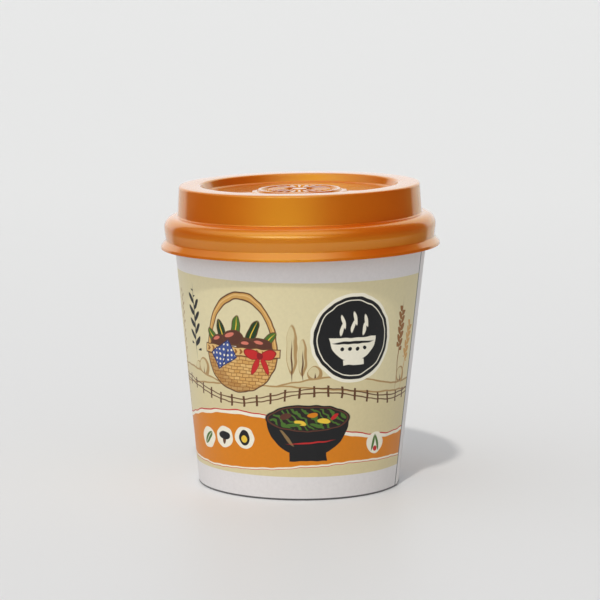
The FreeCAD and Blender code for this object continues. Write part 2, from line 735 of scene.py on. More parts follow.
@dataclass(frozen=True)
class Meadow:
    """Low hills with a fence, round trees and poplars, in thin sepia lines."""

    horizon: float = 40.0
    rise: float = 2.2
    line: float = 0.28
    near_hill_drop: float = 3.0
    fence_drop: float = 6.4
    post_gap: float = 4.8
    post_half_width: float = 0.38
    post_half_height: float = 1.9
    post_middle: float = 1.6
    rails: tuple[float, ...] = (1.1, 2.5)
    rail_half_width: float = 0.2

    def hill(self, canvas: Canvas, base: float, waves: int, start: float) -> Socket:
        """How far the place lies above a hill's line, in millimetres.

        Args:
            canvas: The canvas.
            base: Mean height of the line.
            waves: Waves across a panel.
            start: Where the wave starts, in radians.

        Returns:
            The height above the line.
        """
        _, up = canvas.split()
        line = canvas.desk.math("MULTIPLY_ADD", canvas.swing(waves, start), self.rise, base)
        return canvas.desk.math("SUBTRACT", up, line)

    def trees(self, canvas: Canvas) -> None:
        """Prints round trees and poplars along the horizon.

        Args:
            canvas: The canvas.
        """
        for x, y, size in ((-41, 42, 2.2), (-37.5, 42.6, 3.0), (5, 43.4, 2.4), (41, 40, 2.6)):
            canvas.dabs(
                x,
                y,
                Dab(Ink.SEPIA_LIGHT, 0.0, 0.0, size, size * 1.15),
                Dab(Ink.FIELD, -0.4, 0.5, size * 0.72, size * 0.8),
                Dab(Ink.SEPIA, 0.0, -size, 0.3, size),
            )
        for x, y, wide, tall in ((-2.6, 51.5, 1.9, 8.4), (1.0, 49.0, 1.5, 6.2)):
            canvas.dabs(
                x,
                y,
                Dab(Ink.SEPIA_LIGHT, 0.0, 0.0, wide, tall),
                Dab(Ink.FIELD, -0.35, 0.4, wide * 0.74, tall * 0.9),
                Dab(Ink.SEPIA, 0.0, -tall * 0.5, 0.26, tall * 0.75),
                Dab(Ink.SEPIA_LIGHT, wide * 0.5, 0.0, 0.2, tall * 0.6, 3),
            )

    def fence(self, canvas: Canvas) -> None:
        """Prints posts and rails across the nearer hill.

        Args:
            canvas: The canvas.
        """
        across, _ = canvas.split()
        above = self.hill(canvas, self.horizon - self.fence_drop, 2, 0.8)
        post = canvas.desk.math("WRAP", across, self.post_gap / 2, -self.post_gap / 2)
        tall = canvas.stripe(above, self.post_half_height, self.post_middle)
        canvas.print(canvas.both(canvas.stripe(post, self.post_half_width), tall), Ink.SEPIA)
        for height in self.rails:
            canvas.print(canvas.stripe(above, self.rail_half_width, height), Ink.SEPIA)

    def paint(self, canvas: Canvas) -> None:
        """Prints the whole meadow.

        Args:
            canvas: The canvas.
        """
        self.trees(canvas)
        near = self.horizon - self.near_hill_drop
        for base, waves, start in ((self.horizon, 2, 0.4), (near, 1, 2.2)):
            above = self.hill(canvas, base, waves, start)
            canvas.print(canvas.under(above), Ink.FIELD)
            canvas.print(canvas.stripe(above, self.line), Ink.SEPIA_LIGHT)
        self.fence(canvas)


@dataclass(frozen=True)
class Basket:
    """A woven basket heaped with mushrooms and leaves, with a cloth and a bow."""

    x: float = -21.0
    y: float = 50.0
    half_width: float = 14.0
    depth: float = 14.0
    handle_height: float = 19.0
    handle_inset: float = 1.2
    handle_foot: float = 1.0
    outline: float = 0.45
    cane_length: float = 2.3
    cane_height: float = 1.15
    cane_gap: float = 0.16
    cane_softness: float = 0.6
    light_shift: tuple[float, float] = (4.0, 2.5)
    shade_cover: float = 0.45
    plait_pitch: float = 2.0
    cloth_turn: float = 32.0
    spot_scale: float = 0.62
    spot_scatter: float = 0.15
    spot_size: float = 0.24
    spot_softness: float = 0.4

    def mushroom(self, canvas: Canvas, x: float, y: float, size: float, turn: float) -> None:
        """Prints one mushroom.

        Args:
            canvas: The canvas.
            x: Middle of the cap, from the middle of the rim.
            y: Middle of the cap, from the middle of the rim.
            size: Half width of the cap.
            turn: Lean of the cap.
        """
        canvas.dabs(
            self.x + x,
            self.y + y,
            Dab(Ink.WHITE, 0.0, -size * 0.55, size * 0.34, size * 0.75, turn),
            Dab(Ink.SEPIA, 0.0, 0.0, size, size * 0.62, turn),
            Dab(Ink.CAP_BROWN, 0.0, 0.12, size * 0.9, size * 0.5, turn),
            Dab(Ink.ROSE, -size * 0.3, size * 0.2, size * 0.42, size * 0.17, turn + 12),
        )

    def heap(self, canvas: Canvas) -> None:
        """Prints what fills the basket.

        Args:
            canvas: The canvas.
        """
        for ink, x, y, long, wide, turn in (
            (Ink.GREEN, -10.5, 3.2, 4.6, 1.7, 128),
            (Ink.GREEN_DARK, -7.0, 5.2, 5.2, 1.8, 108),
            (Ink.GREEN, -1.5, 6.6, 5.6, 1.9, 84),
            (Ink.GREEN_DARK, 4.6, 6.0, 5.4, 1.9, 66),
            (Ink.GREEN, 9.8, 3.6, 4.8, 1.7, 48),
        ):
            canvas.dabs(
                self.x,
                self.y,
                Dab(Ink.SEPIA, x, y, long, wide, turn),
                Dab(ink, x, y, long - 0.3, wide - 0.3, turn),
                Dab(Ink.YELLOW, x, y, long - 1.2, 0.2, turn),
            )
        canvas.dabs(self.x, self.y, Dab(Ink.SEPIA, 0.0, 0.5, 12.6, 4.6))
        self.mushroom(canvas, -8.4, 3.0, 3.6, 14)
        self.mushroom(canvas, 8.2, 2.8, 3.8, -12)
        self.mushroom(canvas, -2.6, 4.4, 4.4, 4)
        self.mushroom(canvas, 3.2, 2.4, 3.4, -6)

    def handle(self, canvas: Canvas) -> None:
        """Prints the hooped handle above the rim, dark edge first and highlight last.

        Args:
            canvas: The canvas.
        """
        above = canvas.above(self.y + self.handle_foot)
        wide, tall = self.half_width - self.handle_inset, self.handle_height
        for ink, line, larger in (
            (Ink.SEPIA, 2.0, 0.0),
            (Ink.STRAW, 1.3, 0.0),
            (Ink.STRAW_LIGHT, 0.3, 0.25),
        ):
            hoop = canvas.hoop(self.x, self.y, wide + larger, tall + larger, line)
            canvas.print(canvas.both(hoop, above), ink)

    def woven(self, canvas: Canvas) -> None:
        """Prints the woven side and the plaited rim.

        Args:
            canvas: The canvas.
        """
        x, y, half, depth = self.x, self.y, self.half_width, self.depth
        below = canvas.below(y)
        canvas.print(canvas.both(canvas.oval(x, y, half, depth), below), Ink.SEPIA)
        cane = canvas.desk.add(
            "ShaderNodeTexBrick",
            {
                "Vector": canvas.place,
                "Color1": Ink.STRAW.value,
                "Color2": Ink.STRAW_LIGHT.value,
                "Mortar": Ink.STRAW_DARK.value,
                "Scale": 1.0,
                "Mortar Size": self.cane_gap,
                "Mortar Smooth": self.cane_softness,
                "Brick Width": self.cane_length,
                "Row Height": self.cane_height,
            },
        )
        hull = canvas.oval(x, y, half - self.outline, depth - self.outline)
        inside = canvas.both(hull, below)
        canvas.print(inside, cane.outputs["Color"])
        right, up = self.light_shift
        lit = canvas.oval(x + right, y + up, half, depth)
        canvas.print(canvas.less(inside, lit), Ink.STRAW_DARK, self.shade_cover)
        for ink, reach, tall in ((Ink.SEPIA, 0.7, 1.6), (Ink.STRAW_LIGHT, 0.4, 1.25)):
            canvas.print(canvas.box(x, y, half + reach, tall), ink)
        plait, _ = canvas.repeated(x, y, 90, self.plait_pitch, 0.0)
        knots = plait.oval(0.0, self.plait_pitch / 2, 1.1, 0.42, 35)
        canvas.print(canvas.both(knots, canvas.box(x, y, half + 0.2, 1.2)), Ink.STRAW_DARK)

    def cloth(self, canvas: Canvas) -> None:
        """Prints the spotted cloth over the rim.

        Args:
            canvas: The canvas.
        """
        x, y = self.x - 6.4, self.y - 1.6
        canvas.print(canvas.box(x, y, 4.6, 3.4, self.cloth_turn), Ink.BLUE_DARK)
        patch = canvas.box(x, y, 4.2, 3.0, self.cloth_turn)
        canvas.print(patch, Ink.BLUE)
        spots = canvas.desk.add(
            "ShaderNodeTexVoronoi",
            {"Vector": canvas.place, "Scale": self.spot_scale, "Randomness": self.spot_scatter},
        )
        reach = canvas.desk.math("DIVIDE", spots.outputs["Distance"], self.spot_size)
        canvas.print(canvas.both(patch, canvas.within(reach, self.spot_softness)), Ink.WHITE)
        canvas.dabs(x, y, Dab(Ink.BLUE_DARK, 0.6, -0.8, 3.6, 0.22, 70))

    def bow(self, canvas: Canvas) -> None:
        """Prints the ribbon bow at the rim: tails, loops, then the knot.

        Args:
            canvas: The canvas.
        """
        x, y = self.x + 7.6, self.y - 1.2
        for ink, share in ((Ink.RED_DARK, 1.0), (Ink.RED, 0.86)):
            canvas.dabs(
                x,
                y,
                Dab(ink, -1.5, -3.2, 3.4 * share, 0.95 * share, 66),
                Dab(ink, 1.8, -3.0, 3.4 * share, 0.95 * share, 112),
                Dab(ink, -2.9, 0.7, 3.0 * share, 1.7 * share, -18),
                Dab(ink, 2.9, 0.7, 3.0 * share, 1.7 * share, 18),
            )
        canvas.dabs(x, y, Dab(Ink.RED_DARK, 0.0, 0.2, 1.1, 1.2))

    def paint(self, canvas: Canvas) -> None:
        """Prints the basket from back to front.

        Args:
            canvas: The canvas.
        """
        self.handle(canvas)
        self.heap(canvas)
        self.woven(canvas)
        self.cloth(canvas)
        self.bow(canvas)


@dataclass(frozen=True)
class Plaque:
    """A dark round plaque with a steaming bowl in cream."""

    x: float = 18.5
    y: float = 55.0
    radius: float = 14.0
    margin: float = 1.1
    line: float = 0.35
    line_inset: float = 1.3

    def paint(self, canvas: Canvas) -> None:
        """Prints the plaque, the steam and the bowl.

        Args:
            canvas: The canvas.
        """
        x, y, radius = self.x, self.y, self.radius
        edge, ring = radius + self.margin, radius - self.line_inset
        canvas.dabs(x, y, Dab(Ink.WHITE, 0, 0, edge, edge), Dab(Ink.BLACK, 0, 0, radius, radius))
        canvas.print(canvas.hoop(x, y, ring, ring, self.line), Ink.WHITE)
        for shift, height in ((-4.2, 4.2), (0.0, 5.2), (4.2, 4.2)):
            upper = Dab(Ink.WHITE, 0.45, 1.4, 0.62, 2.3, 14)
            lower = Dab(Ink.WHITE, -0.3, -1.2, 0.62, 2.1, -14)
            canvas.dabs(x + shift, y + height, upper, lower)
        hull = canvas.both(canvas.oval(x, y + 0.6, 8.8, 8.4), canvas.below(y + 0.2))
        canvas.print(hull, Ink.WHITE)
        canvas.print(canvas.box(x, y - 8.1, 3.9, 0.9), Ink.WHITE)
        canvas.dabs(x, y, Dab(Ink.BLACK, 0.0, -1.4, 7.4, 0.5))
        for shift in (-4.2, -1.4, 1.4, 4.2):
            canvas.dabs(x, y, Dab(Ink.BLACK, shift, -3.6, 0.7, 0.7))


@dataclass(frozen=True)
class SoupBowl:
    """A dark bowl seen from its side, full of soup with greens."""

    x: float = 3.0
    y: float = 28.0
    half_width: float = 14.0
    depth: float = 13.0
    mouth: float = 4.6
    foot: tuple[float, float] = (6.2, 1.5)
    soup_inset: tuple[float, float] = (1.1, 0.9)
    strand_scale: float = 0.22
    strand_twist: float = 9.0
    strand_contrast: float = 5.0
    strand_offset: float = -3.1
    garnish: tuple[Dab, ...] = (
        Dab(Ink.CAP_BROWN, -7.6, 0.8, 2.1, 0.9, 20),
        Dab(Ink.YELLOW, -2.8, -1.2, 2.0, 0.8, -16),
        Dab(Ink.ORANGE, 1.4, 1.3, 1.7, 0.8, 12),
        Dab(Ink.YELLOW, 5.2, -0.7, 2.2, 0.9, -8),
        Dab(Ink.RED, 9.0, 0.6, 1.6, 0.7, 30),
        Dab(Ink.GREEN, -5.0, -2.0, 2.6, 0.6, 8),
        Dab(Ink.GREEN, 2.8, -2.3, 2.4, 0.6, -14),
    )

    def soup(self, canvas: Canvas) -> None:
        """Prints the soup and what floats in it.

        Args:
            canvas: The canvas.
        """
        across, along = self.soup_inset
        surface = canvas.oval(self.x, self.y, self.half_width - across, self.mouth - along)
        canvas.print(surface, Ink.SOUP)
        inputs = {
            "Vector": canvas.place,
            "Scale": self.strand_scale,
            "Distortion": self.strand_twist,
            "Detail": 2.0,
        }
        wave = canvas.desk.add("ShaderNodeTexWave", inputs, bands_direction="DIAGONAL")
        contrast = (self.strand_contrast, self.strand_offset)
        strands = canvas.desk.math("MULTIPLY_ADD", wave.outputs["Fac"], *contrast, clamp=True)
        canvas.print(canvas.both(surface, strands), Ink.GREEN)
        canvas.dabs(self.x, self.y, *self.garnish)

    def paint(self, canvas: Canvas) -> None:
        """Prints the bowl, its foot and its rim, then the soup.

        Args:
            canvas: The canvas.
        """
        x, y, half, mouth = self.x, self.y, self.half_width, self.mouth
        below = canvas.below(y)
        canvas.print(canvas.box(x, y - self.depth, *self.foot), Ink.BLACK)
        canvas.print(canvas.both(canvas.oval(x, y, half, self.depth), below), Ink.BLACK)
        canvas.dabs(
            x,
            y,
            Dab(Ink.SEPIA_LIGHT, -7.2, -6.4, 3.6, 0.5, -52, 0.6),
            Dab(Ink.RED, 1.0, -8.0, 7.0, 0.28, 4),
            Dab(Ink.BLACK, 0.0, 0.0, half + 0.4, mouth + 0.3),
            Dab(Ink.CAP_BROWN, 0.0, 0.0, half - 0.2, mouth - 0.2),
            Dab(Ink.BLACK, 0.0, 0.0, half - 0.8, mouth - 0.65),
        )
        self.soup(canvas)


class Badge(NamedTuple):
    """A small round badge.

    Attributes:
        x: Its middle, across.
        y: Its middle, up.
        device: What is printed on it.
    """

    x: float
    y: float
    device: tuple[Dab, ...]


@dataclass(frozen=True)
class Ribbon:
    """The broad wave of orange along the foot of the band, with four round badges.

    The badges show a leaf, a mushroom, an egg and a spring onion. A start is in radians.
    """

    low: float = 11.5
    low_swell: float = 1.3
    low_start: float = 0.3
    high: float = 24.0
    high_swell: float = 4.5
    high_start: float = 2.72
    badge_radius: float = 3.7
    badges: tuple[Badge, ...] = (
        Badge(
            -36.0,
            18.6,
            (Dab(Ink.GREEN, 0.0, 0.0, 2.9, 1.2, 48), Dab(Ink.WHITE, 0.0, 0.0, 2.4, 0.16, 48)),
        ),
        Badge(
            -27.6,
            20.0,
            (Dab(Ink.SEPIA, 0.0, -1.0, 0.75, 1.6), Dab(Ink.BLACK, 0.0, 0.6, 2.5, 1.4)),
        ),
        Badge(
            -19.2,
            20.6,
            (Dab(Ink.BLACK, 0.0, 0.0, 2.0, 2.6), Dab(Ink.YELLOW, 0.0, -0.4, 1.1, 1.2)),
        ),
        Badge(
            28.0,
            18.2,
            (
                Dab(Ink.GREEN, -0.9, 0.0, 2.8, 0.5, 74),
                Dab(Ink.GREEN, 0.9, 0.0, 2.8, 0.5, 106),
                Dab(Ink.RED, 0.0, -2.1, 1.0, 0.8),
            ),
        ),
    )

    def paint(self, canvas: Canvas) -> None:
        """Prints the wave with its light and red edges, then the badges.

        Args:
            canvas: The canvas.
        """
        desk = canvas.desk
        _, up = canvas.split()
        high, low = canvas.swing(1, self.high_start), canvas.swing(1, self.low_start)
        crest = desk.math("MULTIPLY_ADD", high, self.high_swell, self.high)
        base = desk.math("MULTIPLY_ADD", low, self.low_swell, self.low)
        over = desk.math("SUBTRACT", up, crest)
        under = desk.math("SUBTRACT", base, up)
        for ink, margin in ((Ink.RED, 1.5), (Ink.WHITE, 1.1), (Ink.ORANGE, 0.0)):
            wave = canvas.both(canvas.under(over, margin), canvas.under(under, margin / 2))
            canvas.print(wave, ink)
        disc = Dab(Ink.WHITE, 0.0, 0.0, self.badge_radius, self.badge_radius)
        for badge in self.badges:
            canvas.dabs(badge.x, badge.y, disc)
        for badge in self.badges:
            canvas.dabs(badge.x, badge.y, *badge.device)


@dataclass(frozen=True)
class Sprig:
    """A stem with pairs of leaves or grains.

    Attributes:
        ink: Ink of leaves and stem.
        x: Foot of the stem.
        y: Foot of the stem.
        turn: Lean of the stem.
        bare: Bare length of the stem below the first pair.
        length: Length of the part with pairs.
        pitch: Distance from pair to pair.
        leaf: Half length and half width of a leaf.
        spread: Lean of a leaf away from the stem.
        stem: Half width of the stem.
    """

    ink: Ink
    x: float
    y: float
    turn: float
    bare: float
    length: float
    pitch: float
    leaf: tuple[float, float]
    spread: float
    stem: float = 0.24

    def paint(self, canvas: Canvas) -> None:
        """Prints the stem and its pairs.

        Args:
            canvas: The canvas.
        """
        long, wide = self.leaf
        folded, height = canvas.repeated(self.x, self.y, self.turn, self.pitch, self.pitch / 2)
        reach = long * math.cos(math.radians(self.spread))
        leaf = folded.oval(reach, self.pitch / 2, long, wide, self.spread)
        row = canvas.stripe(height, self.length / 2, self.bare + self.length / 2)
        canvas.print(canvas.both(leaf, row), self.ink)
        half = (self.bare + self.length) / 2
        lean = math.radians(self.turn)
        middle = Dab(
            self.ink, -math.sin(lean) * half, math.cos(lean) * half, self.stem, half, self.turn
        )
        canvas.dabs(self.x, self.y, middle)


# ---------------------------------------------------------------------------
# Finishes
# ---------------------------------------------------------------------------


@dataclass(frozen=True)
class PrintedBoard:
    """White coated board with the printed band round it.

    The same panel is printed on the front and on the back. A painted shadow line just before the
    side seam stands in for the shadow of the sheet's lapped end, and past it comes a white margin
    for the glue.
    A painted contact shadow darkens the outer edge of the foot.
    """

    name: str
    base_radius: float
    slope: float
    seam_azimuth: float
    seam_margin: float = 11.5
    seam_start: float = -2.6
    # Half width and cover of the painted shadow line at the side seam.
    seam_shadow_half_width: float = 0.36
    seam_shadow_cover: float = 0.9
    band_low: float = 8.1
    band_high: float = 73.9
    # Height, cover and inner edges of the painted contact shadow along the foot.
    foot_shadow_height: float = 0.65
    foot_shadow_cover: float = 0.85
    foot_shadow_edge: tuple[float, float] = (-1.0, -0.7)
    waver_scale: float = 300.0
    waver: float = 0.75
    mottle_scale: float = 900.0
    mottle_span: tuple[float, float] = (0.3, 0.7)
    mottle_tone: tuple[float, float] = (0.975, 1.02)
    fibre_scale: float = 2600.0
    fibre_strength: float = 0.12
    fibre_depth: float = 0.05
    roughness: tuple[float, float] = (0.38, 0.47)
    specular: float = 0.3
    coat: float = 0.06
    coat_roughness: float = 0.2
    sprigs: tuple[Sprig, ...] = (
        Sprig(Ink.BLACK, -42.0, 47.0, 4, 3.0, 19.0, 4.2, (2.3, 0.8), 48),
        Sprig(Ink.STRAW_DARK, 38.0, 36.0, -6, 14.0, 14.0, 2.6, (1.7, 0.75), 62),
        Sprig(Ink.STRAW, 41.5, 36.0, -14, 10.0, 13.0, 2.6, (1.6, 0.7), 62),
        Sprig(Ink.SEPIA_LIGHT, -54.0, 16.0, 0, 0.0, 52.0, 3.1, (1.1, 0.4), 40),
    )

    def sheet_place(self, desk: NodeDesk) -> tuple[Socket, Socket]:
        """The place on the sheet, in millimetres: across from the middle of a panel, and up.

        Args:
            desk: Where the nodes go.

        Returns:
            The place as a vector, and the distance past the side seam.
        """
        x, y, z = desk.split(desk.here())
        angle = desk.math("ARCTAN2", x, desk.math("MULTIPLY", y, -1.0))
        panel = desk.math("WRAP", angle, math.pi / 2, -math.pi / 2)
        up = desk.math("MULTIPLY", z, 1 / MM)
        radius = desk.math("MULTIPLY_ADD", up, self.slope, self.base_radius)
        turn = desk.math("SUBTRACT", angle, math.radians(self.seam_azimuth))
        past_seam = desk.math("MULTIPLY", turn, radius)
        return desk.join(desk.math("MULTIPLY", panel, radius), up), past_seam

    def drawn_place(self, desk: NodeDesk, place: Socket) -> Socket:
        """Gives the place the slight waver of a hand-drawn line.

        Args:
            desk: Where the nodes go.
            place: The place on the sheet.

        Returns:
            The wavering place.
        """
        noise = desk.noise(self.waver_scale, 0.0, "Color")
        centred = desk.vector("SUBTRACT", noise, (0.5, 0.5, 0.5)).outputs[0]
        shift = desk.vector("MULTIPLY", centred, (self.waver, self.waver, 0.0)).outputs[0]
        return desk.vector("ADD", place, shift).outputs[0]

    def painted_foot_shadow(self, desk: NodeDesk, place: Socket) -> Socket:
        """A mask for the outer edge of the foot, which carries a painted contact shadow as a dark
        line.

        Args:
            desk: Where the nodes go.
            place: The place on the sheet.

        Returns:
            The mask.
        """
        flat = desk.vector("MULTIPLY", desk.here(), (1 / MM, 1 / MM, 0)).outputs[0]
        inner, outer = self.foot_shadow_edge
        outside = desk.spread(
            desk.length(flat), self.base_radius + inner, self.base_radius + outer
        )
        return desk.math("MULTIPLY", Canvas(desk, place).below(self.foot_shadow_height), outside)

    def leave_bare(self, canvas: Canvas, place: Socket, past_seam: Socket) -> None:
        """Leaves the board white above and below the band, and on the glue margin at the seam.

        Args:
            canvas: The canvas.
            place: The place on the sheet, without a drawn line's waver.
            past_seam: Distance past the seam, in millimetres.
        """
        ruled = Canvas(canvas.desk, place)
        canvas.print(ruled.above(self.band_high), Ink.PAPER)
        canvas.print(ruled.below(self.band_low), Ink.PAPER)
        half = self.seam_margin / 2
        canvas.print(canvas.stripe(past_seam, half, self.seam_start + half), Ink.PAPER)

    def artwork(self, desk: NodeDesk) -> Socket:
        """Prints everything on the board.

        Args:
            desk: Where the nodes go.

        Returns:
            The finished colour.
        """
        place, past_seam = self.sheet_place(desk)
        drawn = self.drawn_place(desk, place)
        canvas = Canvas(desk, drawn, Ink.CREAM.value, self.base_radius, self.slope)
        Meadow().paint(canvas)
        Ribbon().paint(canvas)
        self.leave_bare(canvas, place, past_seam)
        for motif in (*self.sprigs, Basket(), Plaque(), SoupBowl()):
            motif.paint(canvas)
        # Painted shadow: a dark line just before the side seam stands in for the shadow of the
        # lapped sheet's end.
        painted_seam_shadow = canvas.stripe(past_seam, self.seam_shadow_half_width, self.seam_start)
        canvas.print(painted_seam_shadow, Ink.SHADE, self.seam_shadow_cover)
        # Painted contact shadow: a dark line along the foot's outer edge, where it meets the table.
        canvas.print(self.painted_foot_shadow(desk, place), Ink.BLACK, self.foot_shadow_cover)
        return canvas.colour

    def make(self) -> bpy.types.Material:
        """Makes the material.

        Returns:
            The material.
        """
        material, desk = new_material(self.name)
        colour = self.artwork(desk)
        mottle = desk.noise(self.mottle_scale, 3.0)
        tone = desk.spread(mottle, *self.mottle_span, *self.mottle_tone)
        fibre = desk.noise(self.fibre_scale, 2.0)
        desk.surface(
            {
                "Base Color": desk.mix(1.0, colour, tone, "MULTIPLY"),
                "Roughness": desk.spread(mottle, *self.mottle_span, *self.roughness),
                "Normal": desk.bump(fibre, self.fibre_strength, self.fibre_depth),
                "Specular IOR Level": self.specular,
                "Coat Weight": self.coat,
                "Coat Roughness": self.coat_roughness,
            }
        )
        return material


@dataclass(frozen=True)
class BareBoard:
    """Plain board, as on raw edges and on the inside of the foot."""

    name: str = "bare_board"
    colour: Colour = (0.78, 0.72, 0.64, 1.0)
    shade: Colour = (0.66, 0.59, 0.50, 1.0)
    fibre_scale: float = 1700.0
    fibre_strength: float = 0.25
    fibre_depth: float = 0.06
    colour_span: tuple[float, float] = (0.35, 0.7)
    roughness_span: tuple[float, float] = (0.3, 0.7)
    roughness: tuple[float, float] = (0.72, 0.86)

    def make(self) -> bpy.types.Material:
        """Makes the material.

        Returns:
            The material.
        """
        material, desk = new_material(self.name)
        fibre = desk.noise(self.fibre_scale, 4.0)
        share = desk.spread(fibre, *self.colour_span)
        desk.surface(
            {
                "Base Color": desk.mix(share, self.colour, self.shade),
                "Roughness": desk.spread(fibre, *self.roughness_span, *self.roughness),
                "Normal": desk.bump(fibre, self.fibre_strength, self.fibre_depth),
            }
        )
        return material


@dataclass(frozen=True)
class PearlSheet:
    """Deep orange plastic sheet with a golden pearl gleam under a clear gloss."""

    name: str = "pearl_orange"
    colour: Colour = (0.67, 0.062, 0.0006, 1.0)
    colour_shade: Colour = (0.63, 0.055, 0.0006, 1.0)
    gleam: Colour = (1.0, 1.0, 0.07, 1.0)
    refraction: float = 3.2
    cloud_scale: float = 60.0
    cloud_span: tuple[float, float] = (0.3, 0.7)
    fleck_scale: float = 4200.0
    fleck_span: tuple[float, float] = (0.25, 0.75)
    fleck_strength: float = 0.10
    fleck_depth: float = 0.01
    ripple_scale: float = 120.0
    ripple_strength: float = 0.25
    ripple_depth: float = 0.05
    roughness: tuple[float, float] = (0.37, 0.47)
    coat: float = 1.0
    coat_roughness: float = 0.06

    def make(self) -> bpy.types.Material:
        """Makes the material.

        Returns:
            The material.
        """
        material, desk = new_material(self.name)
        fleck = desk.noise(self.fleck_scale, 2.0)
        cloud = desk.spread(desk.noise(self.cloud_scale, 2.0), *self.cloud_span)
        ripple = desk.noise(self.ripple_scale, 2.0)
        waves = desk.bump(ripple, self.ripple_strength, self.ripple_depth)
        desk.surface(
            {
                "Base Color": desk.mix(cloud, self.colour, self.colour_shade),
                "Roughness": desk.spread(fleck, *self.fleck_span, *self.roughness),
                "IOR": self.refraction,
                "Specular Tint": self.gleam,
                "Coat Weight": self.coat,
                "Coat Roughness": self.coat_roughness,
                "Normal": desk.bump(fleck, self.fleck_strength, self.fleck_depth, waves),
                "Coat Normal": waves,
            }
        )
        return material


# ---------------------------------------------------------------------------
# The cup
# ---------------------------------------------------------------------------


@dataclass
class PaperCup:
    """The board cup: a rolled and lapped sleeve over a body with a recessed foot.

    Attributes:
        height: Table to the crown of the rolled rim.
        rim_radius: Outside of the rolled rim.
    """

    height: float
    rim_radius: float
    base_radius: float = 34.3
    rim_roll: float = 1.4
    rim_overhang: float = 1.6
    rim_segments: int = 10
    board: float = 0.35
    foot_recess: float = 6.5
    foot_ring: float = 1.5
    foot_round: float = 0.5
    foot_segments: int = 6
    hem_height: float = 5.6
    hem_round: float = 0.5
    knurl_low: float = 1.0
    knurl_high: float = 5.0
    knurl_slope: float = 0.3
    knurl_depth: float = 0.14
    knurl_slack: float = 0.1
    lap_azimuth: float = 75.0
    lap_span: float = 12.0
    column: float = 2.0
    body_columns: int = 180
    panel_radius: float = 27.0
    panel_rise: float = 0.25
    panel_slope: float = 0.6
    panel_round: float = 0.5
    collar_round: float = 0.2
    clearance: float = 0.02
    coated_shade: Colour = (0.74, 0.70, 0.66, 1.0)

    @property
    def slope(self) -> float:
        """How much the wall's radius grows for each millimetre of height."""
        wall_top = self.rim_radius - self.rim_overhang
        return (wall_top - self.base_radius) / (self.height - self.rim_roll)

    @property
    def hem(self) -> float:
        """Radius of the hem, which is the inner face of the foot ring."""
        return self.base_radius - self.foot_ring

    def wall_radius(self, height: float) -> float:
        """The wall's outer radius at a height."""
        return self.base_radius + self.slope * height

    def sleeve_outline(self) -> list[Corner]:
        """Lists the outer face of the sleeve's sheet, from its folded hem up to the rim.

        Returns:
            The outline's corners.
        """
        top = self.height - self.rim_roll - self.board
        return [
            Corner(self.hem, self.hem_height),
            Corner(self.hem, self.knurl_high),
            Corner(self.hem, self.knurl_high - self.knurl_slope),
            Corner(self.hem, self.knurl_low + self.knurl_slope),
            Corner(self.hem, self.knurl_low),
            Corner(self.hem, 0.0, self.hem_round),
            Corner(self.base_radius, 0.0, self.foot_round, self.foot_segments),
            Corner(self.wall_radius(self.height / 2), self.height / 2),
            Corner(self.wall_radius(top), top),
        ]

    def knurled(self, place: Vector) -> bool:
        """Says whether the crimping wheel presses a vertex in, as on every other column.

        Args:
            place: The vertex's place, in metres.

        Returns:
            Whether it is pressed in.
        """
        slack = self.knurl_slack
        column = round((azimuth_of(place) - self.lap_azimuth) / self.column)
        in_rows = self.knurl_low + slack < place.z / MM < self.knurl_high - slack
        return in_rows and abs(radius_of(place) - self.hem) < slack and column % 2 == 0

    def make_sleeve(self) -> bpy.types.Object:
        """Rolls the sleeve, whose ends lap at the side seam.

        Returns:
            The sleeve.
        """
        bench = Bench("cup_sleeve")
        steps = round(self.lap_span / self.column)
        around = FULL_TURN - self.lap_span
        bench.draw(self.sleeve_outline(), self.lap_azimuth - self.lap_span)
        bpy.ops.mesh.select_all(action="SELECT")
        bench.move_out(-self.board)
        self.rise_a_layer(bench, steps)
        bench.spin_on(round(around / self.column), around)
        self.rise_a_layer(bench, steps)
        bench.select(self.knurled)
        share = (self.hem + self.knurl_depth) / self.hem
        bpy.ops.transform.resize(value=(share, share, 1), center_override=(0, 0, 0))
        bpy.ops.mesh.select_all(action="SELECT")
        bpy.ops.mesh.normals_make_consistent(inside=False)
        piece = bench.lift()
        printed = PrintedBoard("printed_wall", self.base_radius, self.slope, self.lap_azimuth)
        piece.data.materials.append(printed.make())
        piece.data.materials.append(BareBoard().make())
        thicken(piece, self.board, inner_slot=1)
        smooth(piece)
        return piece

    def rise_a_layer(self, bench: Bench, steps: int) -> None:
        """Spins on through the lap while the sheet rises by its own thickness.

        Args:
            bench: The bench, with the last column selected.
            steps: Columns in the lap.
        """
        for _ in range(steps):
            bench.spin_on(1, self.column)
            bench.move_out(self.board / steps)

    def body_outline(self) -> list[Corner]:
        """Lists the body inside the sleeve: paper bottom, skirt, wall, rolled rim and mouth.

        Returns:
            The outline's corners.
        """
        inset = self.board + self.clearance
        skirt = self.hem + inset
        skirt_low = self.board + self.foot_round
        roll_low = self.height - 2 * self.rim_roll
        panel_z = self.foot_recess + self.panel_rise
        panel_foot = self.panel_radius + self.panel_slope
        return [
            Corner(0.0, panel_z),
            Corner(self.panel_radius, panel_z, self.panel_round, 3),
            Corner(panel_foot, self.foot_recess, self.panel_round, 3),
            Corner(skirt, self.foot_recess, self.panel_round, 4),
            Corner(skirt, skirt_low),
            Corner(self.base_radius - inset, skirt_low),
            Corner(self.wall_radius(roll_low) - inset, roll_low, self.collar_round, 3),
            Corner(self.rim_radius, roll_low, self.rim_roll, self.rim_segments),
            Corner(self.rim_radius, self.height, self.rim_roll, self.rim_segments),
            Corner(0.0, self.height),
        ]

